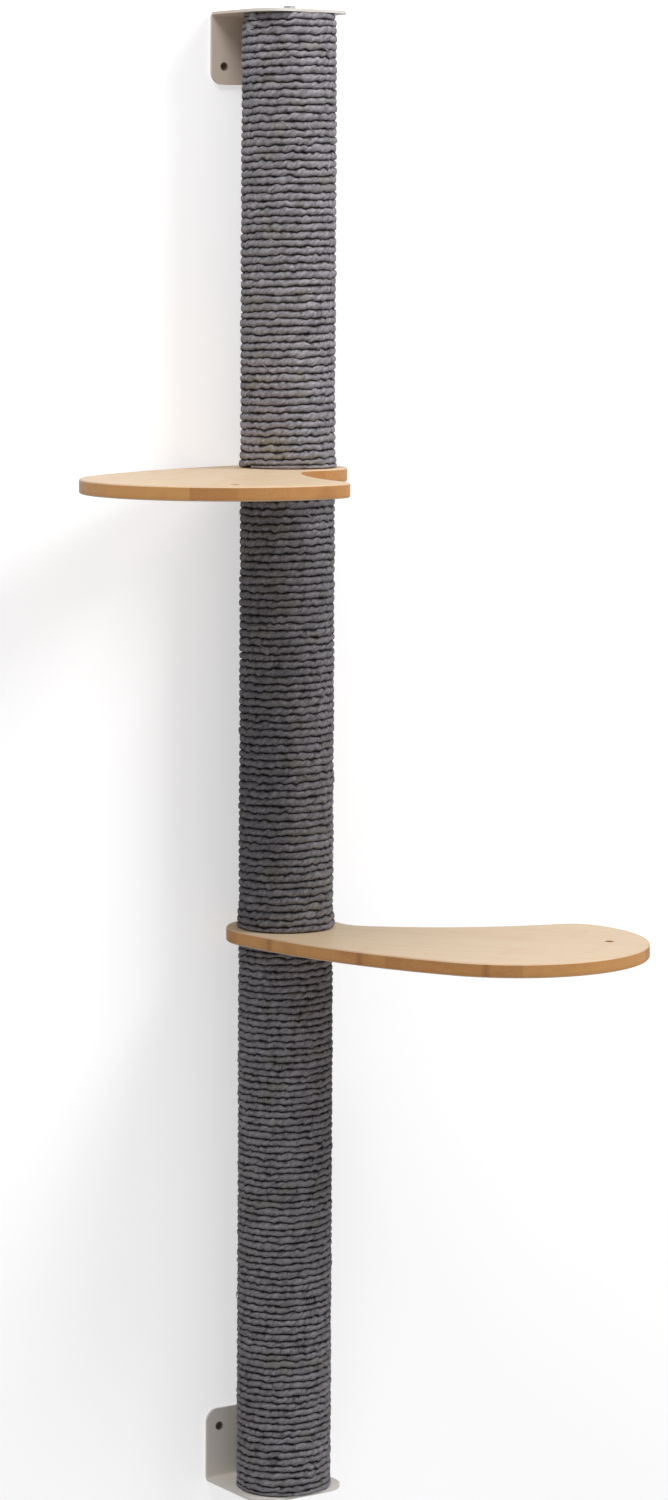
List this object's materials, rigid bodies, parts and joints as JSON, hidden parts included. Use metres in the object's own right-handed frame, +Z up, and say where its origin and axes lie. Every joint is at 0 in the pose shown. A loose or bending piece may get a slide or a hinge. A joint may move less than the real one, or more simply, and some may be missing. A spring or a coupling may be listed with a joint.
{
  "type": "wall mounted cat tree",
  "caption": "Vertical rope-wrapped scratching post held off a wall by steel angle brackets, with wooden shelf boards clamped between its sections.",
  "frame": {"origin": "on the wall plane, midway between the two screw holes of the bottom bracket", "axes": "+Z up along the post, +Y into the wall, +X right along the wall as seen from the room"},
  "size_m": [0.6493, 0.4333, 1.6516],
  "materials": {
    "white_steel": "satin powder coat",
    "zinc_steel": "zinc plated",
    "cardboard": "bare wound cardboard",
    "grey_rope": "soft twisted rope",
    "plug_wood": "bare plywood",
    "shelf_wood": "clear lacquered laminated bamboo"
  },
  "bodies": {
    "post": {"bottom_bracket": "white_steel", "top_bracket": "white_steel", "bottom_bracket_bolt": "zinc_steel", "top_bracket_bolt": "zinc_steel", "bottom_post_tube": "cardboard", "middle_post_tube": "cardboard", "top_post_tube": "cardboard", "bottom_rope_wrap": "grey_rope", "middle_rope_wrap": "grey_rope", "top_rope_wrap": "grey_rope", "bottom_post_plugs": "plug_wood", "middle_post_plugs": "plug_wood", "top_post_plugs": "plug_wood", "bottom_post_inserts": "zinc_steel", "middle_post_inserts": "zinc_steel", "top_post_inserts": "zinc_steel", "lower_shelf_stud": "zinc_steel", "upper_shelf_stud": "zinc_steel"},
    "lower_shelf": {"lower_shelf_board": "shelf_wood"},
    "upper_shelf": {"upper_shelf_board": "shelf_wood"}
  },
  "joints": [
    {"name": "lower_shelf_swivel", "type": "hinge", "parent": "post", "child": "lower_shelf", "pos_m": [0, -0.068, 0.5605], "axis": [0, 0, 1], "range_deg": [-96, 39]},
    {"name": "upper_shelf_swivel", "type": "hinge", "parent": "post", "child": "upper_shelf", "pos_m": [0, -0.068, 1.0705], "axis": [0, 0, 1], "range_deg": [-13, 122]}
  ]
}
